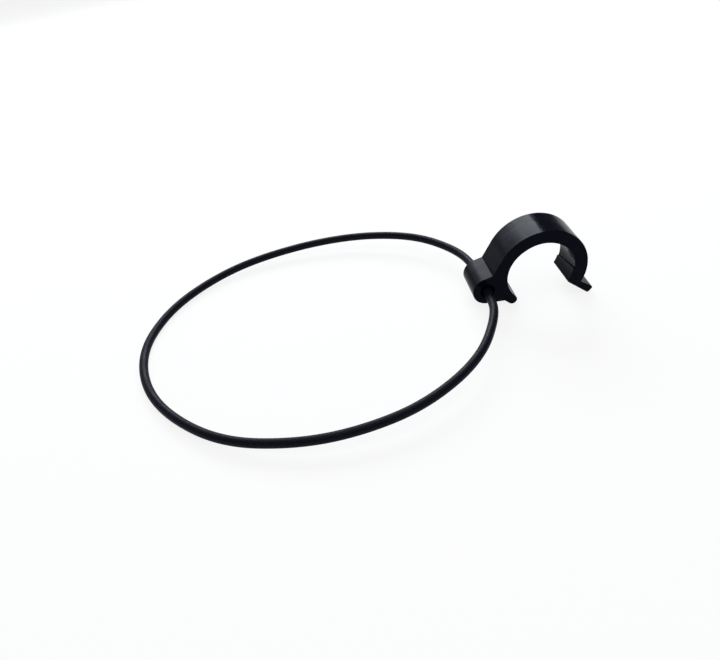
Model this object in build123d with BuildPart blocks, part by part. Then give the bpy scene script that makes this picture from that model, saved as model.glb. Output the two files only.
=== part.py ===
from build123d import *
from math import acos, atan2, cos, degrees, pi, radians, sin, tan
import os

# A snap clip for a round tube post, with a barrel on its side that holds a loop of elastic cord.
# X points from the loop to the clip, Y runs along the post, Z is up, and the origin is the centre
# of the post, halfway along the clip. Sizes are in millimetres.

# The clip, as seen along the post. Its wall is thickest at the far shoulder, because the outside
# of the C is a little off the post's centre.
post_r = 12.5  # for a 25 mm post
clip_width = 14.4  # along the post
clip_wall = 4.85
outer_centre = (0.5, 0.3)
edge_round = 0.2  # moulded edges of both end faces

# Two walls seat the post: the left jaw, and a grip pad on the right jaw. Between them the crown
# stands a little clear of the post, so that a small ledge shows where the pad begins. The ledge
# runs downhill along the post, from the front face to the back face.
pad_grip = 0.05
crown_relief = 0.1
crown_centre = (0.4, 0.13)
ledge_height = -1.3  # halfway along the clip
ledge_tilt = 9.5  # degrees
ledge_round = 0.15

# The left jaw rolls over into a round nub, and a hollow parts the nub from the barrel.
nub_r = 1.8
nub_angle = 225.6
notch_reach = 3.0  # from the nub's centre
notch_round = 1.0

# The right jaw ends in a long flared lip that leads the post in.
jaw_angle = -27.6
jaw_corner_round = 0.4
lip_slope = -37.0  # degrees
lip_thickness = 3.0
lip_tip_round = 0.8
lip_root_angle = -23.5  # about the outer circle's centre

# The elastic cord, and the sleeve that joins its two ends inside the barrel.
cord_r = 1.6
cord_end_gap = 0.3  # between the cord's two cut ends
sleeve_wall = 1.0
sleeve_squeeze = 0.05  # radial, the sleeve grips the rubber
sleeve_clearance = 0.1  # radial, so that the sleeve turns in the barrel
sleeve_recess = 2.5  # inside each mouth of the barrel
sleeve_chamfer = 0.3

# The barrel that the cord passes through, and the sharp corner over it. Reaches are measured
# from the outside of the C.
barrel_reach = 3.05
barrel_height = -4.4
barrel_wall = 2.9
barrel_mouth_chamfer = 0.2
neck_reach = 1.4
neck_height = 1.9
neck_round = 0.2

# The cord's route from the barrel's back mouth round to its front mouth, measured from the
# barrel's centre: x, y, and the share of the drop to the surface that the clip stands on.
loop_route = [
    (0, 12, 0),
    (-4.5, 26.5, 0.04),
    (-17.5, 42.7, 0.15),
    (-38, 52.1, 0.32),
    (-60, 54.6, 0.5),
    (-82.5, 51.7, 0.69),
    (-101, 45, 0.84),
    (-117.5, 32, 0.96),
    (-127.5, 17, 1),
    (-132.5, -2.5, 1),
    (-128.5, -23, 1),
    (-117.5, -40.5, 0.96),
    (-98.5, -56.5, 0.82),
    (-75.5, -63, 0.62),
    (-55.5, -63, 0.46),
    (-34, -57.5, 0.27),
    (-12.8, -42.3, 0.1),
    (-1.2, -21.4, 0),
    (0, -9.5, 0),
]
bend_share = 0.45  # of the shorter run beside it, that each bend takes up

os.makedirs("parts", exist_ok=True)


def on_circle(centre, radius, angle):
    return (
        centre[0] + radius * cos(radians(angle)),
        centre[1] + radius * sin(radians(angle)),
    )


def touch_angle(centre, radius, point, side):
    """The angle about a circle's centre at which a straight line from point touches the circle."""
    across = (point[0] - centre[0], point[1] - centre[1])
    distance = (across[0] ** 2 + across[1] ** 2) ** 0.5
    return degrees(atan2(across[1], across[0])) + side * degrees(acos(radius / distance))


post_centre = (0, 0)
outer_r = post_r + clip_wall
outside_x = outer_centre[0] - outer_r
pad_r = post_r - pad_grip
crown_r = post_r + crown_relief

# The nub's round runs on from the left jaw's wall, and the clip stands on the nub and the lip.
nub_centre = on_circle(post_centre, post_r + nub_r, nub_angle)
floor_z = nub_centre[1] - nub_r
jaw_corner = on_circle(post_centre, pad_r, jaw_angle)
lip_tip_lift = lip_tip_round * (cos(radians(lip_slope)) - sin(radians(lip_slope)) - 1)
lip_length = (jaw_corner[1] - floor_z + lip_tip_lift) / -sin(radians(lip_slope))
lip_end = on_circle(jaw_corner, lip_length, lip_slope)
lip_end_top = on_circle(lip_end, lip_thickness, lip_slope + 90)
lip_root = on_circle(outer_centre, outer_r, lip_root_angle)

barrel_bore_r = cord_r + sleeve_wall + sleeve_clearance
barrel_r = barrel_bore_r + barrel_wall
barrel_centre = (outside_x - barrel_reach, barrel_height)
barrel_bottom = on_circle(barrel_centre, barrel_r, 270)
neck_corner = (outside_x - neck_reach, neck_height)
flank_angle = touch_angle(outer_centre, outer_r, neck_corner, -1)
barrel_top_angle = touch_angle(barrel_centre, barrel_r, neck_corner, 1)
notch = (nub_centre[0] - notch_reach, barrel_bottom[1])
nub_under_angle = touch_angle(nub_centre, nub_r, notch, 1) - 360

# Crown cut: what clears the crown above the ledge.
ledge_plane = Plane(
    origin=(0, 0, ledge_height),
    x_dir=(1, 0, 0),
    z_dir=(0, sin(radians(ledge_tilt)), cos(radians(ledge_tilt))),
)
with BuildPart() as crown_cut:
    with BuildSketch(Plane.XZ.shift_origin((crown_centre[0], 0, crown_centre[1]))):
        Circle(crown_r)
    extrude(amount=clip_width, both=True)
    split(bisect_by=ledge_plane, keep=Keep.TOP)

# Post clip: one moulding, the same section all along the post but for the slanting ledge, with
# the cord's bore through it.
with BuildPart() as post_clip:
    with BuildSketch(Plane.XZ) as clip_section:
        with BuildLine():
            CenterArc(post_centre, post_r, 90, nub_angle - 90)
            Line(on_circle(post_centre, post_r, 90), on_circle(post_centre, pad_r, 90))
            CenterArc(post_centre, pad_r, jaw_angle, 90 - jaw_angle)
            FilletPolyline(
                jaw_corner,
                lip_end,
                lip_end_top,
                lip_root,
                radius=[lip_tip_round, lip_tip_round],
            )
            CenterArc(outer_centre, outer_r, lip_root_angle, flank_angle - lip_root_angle)
            Polyline(
                on_circle(outer_centre, outer_r, flank_angle),
                neck_corner,
                on_circle(barrel_centre, barrel_r, barrel_top_angle),
            )
            CenterArc(barrel_centre, barrel_r, barrel_top_angle, 270 - barrel_top_angle)
            FilletPolyline(
                barrel_bottom,
                notch,
                on_circle(nub_centre, nub_r, nub_under_angle),
                radius=[notch_round],
            )
            CenterArc(nub_centre, nub_r, nub_under_angle, nub_angle - 180 - nub_under_angle)
        make_face()
        for corner, corner_round in ((jaw_corner, jaw_corner_round), (neck_corner, neck_round)):
            fillet(clip_section.vertices().sort_by_distance((*corner, 0))[0], corner_round)
    extrude(amount=clip_width / 2, both=True)
    add(crown_cut.part, mode=Mode.SUBTRACT)
    end_faces = post_clip.faces().filter_by(Axis.Y)
    fillet(end_faces.edges(), edge_round)
    ledge = post_clip.faces().filter_by(ledge_plane)[0]
    pad_top_edge = ledge.edges().sort_by_distance(ledge_plane.origin)[0]
    fillet(pad_top_edge, ledge_round)
    with Locations(Plane.XZ.shift_origin((barrel_centre[0], 0, barrel_centre[1]))):
        Hole(barrel_bore_r)
    bore_rims = post_clip.edges().filter_by(
        lambda edge: edge.geom_type == GeomType.CIRCLE and abs(edge.radius - barrel_bore_r) < 1e-6
    )
    chamfer(bore_rims, barrel_mouth_chamfer)
post_clip.part.label = "post_clip"
export_step(post_clip.part, "parts/post_clip.step")

# Elastic loop: one length of round rubber cord that starts and ends at the middle of the barrel.
# Its far side lies on the surface that the clip stands on.
barrel_middle = Vector(barrel_centre[0], 0, barrel_centre[1])
cord_drop = barrel_centre[1] - cord_r - floor_z
cord_start = barrel_middle + Vector(0, cord_end_gap / 2, 0)
cord_finish = barrel_middle - Vector(0, cord_end_gap / 2, 0)
loop_points = [cord_start]
for along, across, lowered in loop_route:
    loop_points.append(barrel_middle + Vector(along, across, -lowered * cord_drop))
loop_points.append(cord_finish)

bend_radii = []
for before, corner, after in zip(loop_points, loop_points[1:], loop_points[2:]):
    run_in = corner - before
    run_out = after - corner
    turn = radians(run_in.get_angle(run_out))
    bend_radii.append(bend_share * min(run_in.length, run_out.length) / tan(turn / 2))

with BuildPart() as elastic_loop:
    with BuildLine() as cord_path:
        FilletPolyline(*loop_points, radius=bend_radii)
    with BuildSketch(Plane(origin=cord_start, z_dir=(0, 1, 0))):
        Circle(cord_r)
    sweep()
elastic_loop.part.label = "elastic_loop"
export_step(elastic_loop.part, "parts/elastic_loop.step")

# Joining sleeve: a short plastic tube inside the barrel, pushed over both ends of the cord.
with BuildPart() as joining_sleeve:
    with BuildSketch(Plane.XZ.shift_origin(barrel_middle)):
        Circle(cord_r + sleeve_wall)
        Circle(cord_r - sleeve_squeeze, mode=Mode.SUBTRACT)
    extrude(amount=clip_width / 2 - sleeve_recess, both=True)
    chamfer(joining_sleeve.faces().filter_by(Axis.Y).edges(), sleeve_chamfer)
joining_sleeve.part.label = "joining_sleeve"
export_step(joining_sleeve.part, "parts/joining_sleeve.step")

print("cord bend radii:", [round(bend_radius, 1) for bend_radius in bend_radii])
print("cord length along its runs and bends:", round(cord_path.wires()[0].length, 1))
print("section times length:", round(pi * cord_r**2 * cord_path.wires()[0].length, 1))
print("cord solid volume:", round(elastic_loop.part.volume, 1))
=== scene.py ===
from math import pi, radians

import bpy
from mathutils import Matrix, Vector


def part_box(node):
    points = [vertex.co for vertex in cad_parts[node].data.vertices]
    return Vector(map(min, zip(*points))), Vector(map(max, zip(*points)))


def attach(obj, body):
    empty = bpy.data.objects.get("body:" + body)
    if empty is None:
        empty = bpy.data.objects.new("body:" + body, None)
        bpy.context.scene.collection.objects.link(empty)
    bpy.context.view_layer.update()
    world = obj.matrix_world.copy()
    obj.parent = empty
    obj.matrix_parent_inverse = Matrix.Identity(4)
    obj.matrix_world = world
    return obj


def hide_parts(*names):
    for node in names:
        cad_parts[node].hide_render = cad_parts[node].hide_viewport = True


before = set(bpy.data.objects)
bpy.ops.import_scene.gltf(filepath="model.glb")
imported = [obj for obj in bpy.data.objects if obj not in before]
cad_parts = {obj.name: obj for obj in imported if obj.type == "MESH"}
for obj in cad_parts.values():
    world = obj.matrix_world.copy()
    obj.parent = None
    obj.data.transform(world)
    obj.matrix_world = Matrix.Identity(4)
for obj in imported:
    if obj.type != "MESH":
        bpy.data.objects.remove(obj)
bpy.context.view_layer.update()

# ---------------------------------------------------------------------------------------------
# Camera: a moderately wide lens, held a little over a hand's breadth up, in front of the near
# side of the loop and looking down across it, so that one end of the clip's C faces it.
# ---------------------------------------------------------------------------------------------
camera = bpy.data.objects.new("camera", bpy.data.cameras.new("camera"))
camera.data.sensor_width = 36
camera.data.lens = 28.68
camera.location = (-0.0761, -0.17876, 0.12354)
camera.rotation_euler = (radians(51.22), radians(5.89), radians(-6.93))
bpy.context.scene.collection.objects.link(camera)
bpy.context.scene.camera = camera

# ---------------------------------------------------------------------------------------------
# Elastic cord: one length of round black rubber, extruded with a satin skin that picks up a
# little dust. It leaves the back of the barrel, sinks to the surface on its far side, and comes
# back into the front of the barrel, where its two cut ends meet inside the joining sleeve.
# ---------------------------------------------------------------------------------------------
MM = 0.001
cord_radius = 1.6 * MM
cord_end_gap = 0.3
clip_low, clip_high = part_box("post_clip")
sleeve_low, sleeve_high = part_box("joining_sleeve")
barrel_middle = (sleeve_low + sleeve_high) / 2
cord_drop = barrel_middle.z - cord_radius - clip_low.z

# Along and across in millimetres from the barrel's middle, and the share of the drop.
loop_route = [
    (0, cord_end_gap / 2, 0),
    (0, 12, 0),
    (-4.5, 26.5, 0.04),
    (-17.5, 42.7, 0.15),
    (-38, 52.1, 0.32),
    (-60, 54.6, 0.5),
    (-82.5, 51.7, 0.69),
    (-101, 45, 0.84),
    (-117.5, 32, 0.96),
    (-127.5, 17, 1),
    (-132.5, -2.5, 1),
    (-128.5, -23, 1),
    (-117.5, -40.5, 0.96),
    (-98.5, -56.5, 0.82),
    (-75.5, -63, 0.62),
    (-55.5, -63, 0.46),
    (-34, -57.5, 0.27),
    (-12.8, -42.3, 0.1),
    (-1.2, -21.4, 0),
    (0, -9.5, 0),
    (0, -cord_end_gap / 2, 0),
]
cord_curve = bpy.data.curves.new("elastic_cord", "CURVE")
cord_curve.dimensions = "3D"
cord_curve.resolution_u = 16
cord_curve.bevel_depth = cord_radius
cord_curve.bevel_resolution = 10
cord_curve.use_fill_caps = True
cord_line = cord_curve.splines.new("NURBS")
cord_line.points.add(len(loop_route) - 1)
for point, (along, across, lowered) in zip(cord_line.points, loop_route):
    point.co = (
        barrel_middle.x + along * MM,
        barrel_middle.y + across * MM,
        barrel_middle.z - lowered * cord_drop,
        1,
    )
cord_line.order_u = 3
cord_line.use_endpoint_u = True
elastic_cord = bpy.data.objects.new("elastic_cord", cord_curve)
bpy.context.scene.collection.objects.link(elastic_cord)


def new_material(name, specular_level):
    material = bpy.data.materials.new(name)
    material.use_nodes = True
    material.node_tree.nodes["Principled BSDF"].inputs["Specular IOR Level"].default_value = specular_level
    return material


def fill_socket(owner, socket, value):
    """Link value to the socket if it comes from another node, and otherwise set it."""
    if isinstance(value, bpy.types.NodeSocket):
        owner.node_tree.links.new(value, socket)
    else:
        socket.default_value = value


def add_node(owner, kind, **inputs):
    """Add a shader node, and fill its inputs, which are named with _ for a space."""
    node = owner.node_tree.nodes.new(kind)
    for name, value in inputs.items():
        fill_socket(owner, node.inputs[name.replace("_", " ")], value)
    return node


def link_to_shader(material, output, input_name):
    shader = material.node_tree.nodes["Principled BSDF"]
    material.node_tree.links.new(output, shader.inputs[input_name])


def stretched_noise(material, stretch, size, detail):
    """Noise whose spots are about size across, in metres, and drawn out by stretch on each axis."""
    place = add_node(material, "ShaderNodeTexCoord").outputs["Object"]
    squeeze = [1 / drawn_out for drawn_out in stretch]
    mapping = add_node(material, "ShaderNodeMapping", Vector=place, Scale=squeeze)
    noise = add_node(
        material, "ShaderNodeTexNoise", Vector=mapping.outputs["Vector"], Scale=1 / size, Detail=detail
    )
    return noise.outputs["Fac"]


def colour_between(material, amount, low, dark, high, pale):
    """Let the base colour run from dark, where amount is low, to pale, where it is high."""
    ramp = add_node(material, "ShaderNodeValToRGB", Fac=amount)
    for element, position, colour in zip(ramp.color_ramp.elements, (low, high), (dark, pale)):
        element.position = position
        element.color = (*colour, 1)
    link_to_shader(material, ramp.outputs["Color"], "Base Color")


def roughness_between(material, amount, smooth, rough):
    """Let the roughness run from smooth to rough over the middle of the amount's range."""
    spread = add_node(
        material, "ShaderNodeMapRange", Value=amount, From_Min=0.3, From_Max=0.7, To_Min=smooth, To_Max=rough
    )
    link_to_shader(material, spread.outputs["Result"], "Roughness")


def uneven_surface(material, bumps):
    """Lay the bumps, each an amount and a height in metres, one over another."""
    normal = None
    for amount, height in bumps:
        bump = add_node(material, "ShaderNodeBump", Height=amount, Distance=height)
        if normal:
            material.node_tree.links.new(normal, bump.inputs["Normal"])
        normal = bump.outputs["Normal"]
    link_to_shader(material, normal, "Normal")


rubber_black = (0.0032, 0.0034, 0.008)
rubber_dusty = (0.009, 0.0098, 0.016)
cord_rubber = new_material("black rubber cord", specular_level=0.065)
rubber_dust = stretched_noise(cord_rubber, stretch=(1, 1, 1), size=0.5 * MM, detail=8)
rubber_bloom = stretched_noise(cord_rubber, stretch=(1, 1, 1), size=6 * MM, detail=3)
colour_between(cord_rubber, rubber_dust, 0.4, rubber_black, 0.75, rubber_dusty)
roughness_between(cord_rubber, rubber_bloom, smooth=0.4, rough=0.52)
uneven_surface(cord_rubber, [(rubber_bloom, 0.03 * MM), (rubber_dust, 0.008 * MM)])
cord_curve.materials.append(cord_rubber)

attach(elastic_cord, "loop")
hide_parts("elastic_loop")

# ---------------------------------------------------------------------------------------------
# Joining sleeve: a short length of extruded black plastic tube, pushed over both ends of the
# cord. It lies inside the barrel, where only its cut ends are seen, and turns there.
# ---------------------------------------------------------------------------------------------
sleeve_black = (0.0012, 0.002, 0.005)
sleeve_cut_pale = (0.003, 0.004, 0.008)
sleeve_plastic = new_material("black sleeve plastic", specular_level=0.05)
sleeve_cut_marks = stretched_noise(sleeve_plastic, stretch=(1, 1, 4), size=0.4 * MM, detail=4)
colour_between(sleeve_plastic, sleeve_cut_marks, 0.3, sleeve_black, 0.7, sleeve_cut_pale)
roughness_between(sleeve_plastic, sleeve_cut_marks, smooth=0.42, rough=0.58)
uneven_surface(sleeve_plastic, [(sleeve_cut_marks, 0.02 * MM)])
joining_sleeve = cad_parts["joining_sleeve"]
joining_sleeve.data.materials.clear()
joining_sleeve.data.materials.append(sleeve_plastic)

# ---------------------------------------------------------------------------------------------
# Post clip: one injection moulding in black nylon, straight from a polished tool. Its skin is
# smooth and satin bright, with faint marks where the plastic flowed round the C, shallow sinks
# over the thick parts, and a fine grain.
# ---------------------------------------------------------------------------------------------
nylon_black = (0.0012, 0.0016, 0.0052)
nylon_flow_pale = (0.0027, 0.0033, 0.008)
clip_nylon = new_material("black moulded nylon", specular_level=0.03)
flow_marks = stretched_noise(clip_nylon, stretch=(1, 3, 1), size=2.4 * MM, detail=4)
shallow_sinks = stretched_noise(clip_nylon, stretch=(1, 1, 1), size=9 * MM, detail=1)
fine_skin = stretched_noise(clip_nylon, stretch=(1, 1, 1), size=0.35 * MM, detail=6)
colour_between(clip_nylon, flow_marks, 0.35, nylon_black, 0.7, nylon_flow_pale)
roughness_between(clip_nylon, fine_skin, smooth=0.13, rough=0.24)
uneven_surface(
    clip_nylon, [(shallow_sinks, 0.15 * MM), (flow_marks, 0.08 * MM), (fine_skin, 0.002 * MM)]
)
post_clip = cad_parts["post_clip"]
post_clip.data.materials.clear()
post_clip.data.materials.append(clip_nylon)

# ---------------------------------------------------------------------------------------------
# Floor: a wide sheet of white paper. What looks at it straight, in a gloss or through glass
# sees it mostly white, and the rest stays lit paper, which keeps the soft shadow of the part.
# ---------------------------------------------------------------------------------------------
floor_reach = 6
paper_white = (0.9, 0.9, 0.9, 1)
paper_glow_share = 0.85

floor_corners = []
for x, y in ((-1, -1), (1, -1), (1, 1), (-1, 1)):
    floor_corners.append((x * floor_reach, y * floor_reach, clip_low.z))
floor_mesh = bpy.data.meshes.new("floor")
floor_mesh.from_pydata(floor_corners, [], [(0, 1, 2, 3)])
floor = bpy.data.objects.new("floor", floor_mesh)
bpy.context.scene.collection.objects.link(floor)

white_paper = new_material("white paper", specular_level=0)
paper_nodes = white_paper.node_tree.nodes
lit_paper = paper_nodes["Principled BSDF"]
lit_paper.inputs["Base Color"].default_value = paper_white
lit_paper.inputs["Roughness"].default_value = 1
glowing_paper = add_node(white_paper, "ShaderNodeEmission", Strength=1)


def calculate(owner, operation, first, second):
    """Add a maths node, and give what it makes of first and second."""
    node = add_node(owner, "ShaderNodeMath")
    node.operation = operation
    fill_socket(owner, node.inputs[0], first)
    fill_socket(owner, node.inputs[1], second)
    return node.outputs["Value"]


ray = add_node(white_paper, "ShaderNodeLightPath").outputs
straight_or_gloss = calculate(white_paper, "MAXIMUM", ray["Is Camera Ray"], ray["Is Glossy Ray"])
looks_at_paper = calculate(white_paper, "MAXIMUM", straight_or_gloss, ray["Is Transmission Ray"])
paper_glow = calculate(white_paper, "MULTIPLY", looks_at_paper, paper_glow_share)
paper_mix = add_node(white_paper, "ShaderNodeMixShader", Fac=paper_glow)
fill_socket(white_paper, paper_mix.inputs[1], lit_paper.outputs["BSDF"])
fill_socket(white_paper, paper_mix.inputs[2], glowing_paper.outputs["Emission"])
fill_socket(white_paper, paper_nodes["Material Output"].inputs["Surface"], paper_mix.outputs["Shader"])
floor_mesh.materials.append(white_paper)

# ---------------------------------------------------------------------------------------------
# Light: a softbox low behind the part, whose reflection is the bright band across the top of
# the C, dimmer strips beside it that let the band fade to the left, and a broad soft light overhead.
# ---------------------------------------------------------------------------------------------
cool_white = (0.88, 0.93, 1)
neutral_white = (1, 1, 1)
softbox_distance = 1
softbox_height = 0.42
first_strip_side = -0.287
first_strip_up = 0.47
strip_step = 0.075
strip_drop = 0.035
strip_width = 0.077
strip_radiances = (9.5, 6, 3.8, 2.4, 1.6)


def soft_light(name, direction, distance, width, height, colour, radiance):
    """A flat lamp that faces the part from direction: to its right, behind it and up."""
    lamp = bpy.data.lights.new(name, "AREA")
    lamp.shape = "RECTANGLE"
    lamp.size = width
    lamp.size_y = height
    lamp.color = colour
    lamp.energy = radiance * pi * width * height
    lamp_object = bpy.data.objects.new(name, lamp)
    toward = Vector(direction).normalized()
    lamp_object.location = toward * distance
    lamp_object.rotation_euler = toward.to_track_quat("Z", "Y").to_euler()
    bpy.context.scene.collection.objects.link(lamp_object)


soft_light(
    "softbox",
    direction=(0.01, 0.8, 0.51),
    distance=softbox_distance,
    width=0.52,
    height=softbox_height,
    colour=cool_white,
    radiance=13.5,
)
for strip, strip_radiance in enumerate(strip_radiances):
    soft_light(
        f"fading strip {strip + 1}",
        direction=(first_strip_side - strip_step * strip, 0.8, first_strip_up - strip_drop * strip),
        distance=softbox_distance,
        width=strip_width,
        height=softbox_height,
        colour=cool_white,
        radiance=strip_radiance,
    )
soft_light(
    "overhead",
    direction=(0, 0, 1),
    distance=1.2,
    width=1.2,
    height=1.2,
    colour=neutral_white,
    radiance=1.5,
)

# ---------------------------------------------------------------------------------------------
# Room: pale walls low down, which darken towards the ceiling, and one dark corner beyond the
# clip, so that its black gloss keeps a dark side.
# ---------------------------------------------------------------------------------------------
room_colour = (0.9, 0.94, 1, 1)
wall_level = 1
ceiling_level = 0.18
wall_top = 0.48
corner_direction = (0.77, 0.64, 0)

room = bpy.data.worlds.new("room")
bpy.context.scene.world = room
room.use_nodes = True


def soft_step(owner, value, start, end):
    """Rise smoothly from 0, where value is start, to 1, where it is end."""
    node = add_node(owner, "ShaderNodeMapRange", Value=value, From_Min=start, From_Max=end)
    node.interpolation_type = "SMOOTHSTEP"
    return node.outputs["Result"]


outward = add_node(room, "ShaderNodeTexCoord").outputs["Generated"]
height_up = add_node(room, "ShaderNodeSeparateXYZ", Vector=outward).outputs["Z"]
toward_corner = add_node(room, "ShaderNodeVectorMath")
toward_corner.operation = "DOT_PRODUCT"
fill_socket(room, toward_corner.inputs[0], outward)
fill_socket(room, toward_corner.inputs[1], corner_direction)
low_down = soft_step(room, height_up, start=wall_top, end=0)
clear_of_corner = soft_step(room, toward_corner.outputs["Value"], start=0.75, end=0.25)
wall_share = calculate(room, "MULTIPLY", low_down, clear_of_corner)
room_level = add_node(
    room, "ShaderNodeMapRange", Value=wall_share, To_Min=ceiling_level, To_Max=wall_level
)
background = room.node_tree.nodes["Background"]
fill_socket(room, background.inputs["Color"], room_colour)
fill_socket(room, background.inputs["Strength"], room_level.outputs["Result"])

bpy.context.scene.view_settings.view_transform = "Standard"
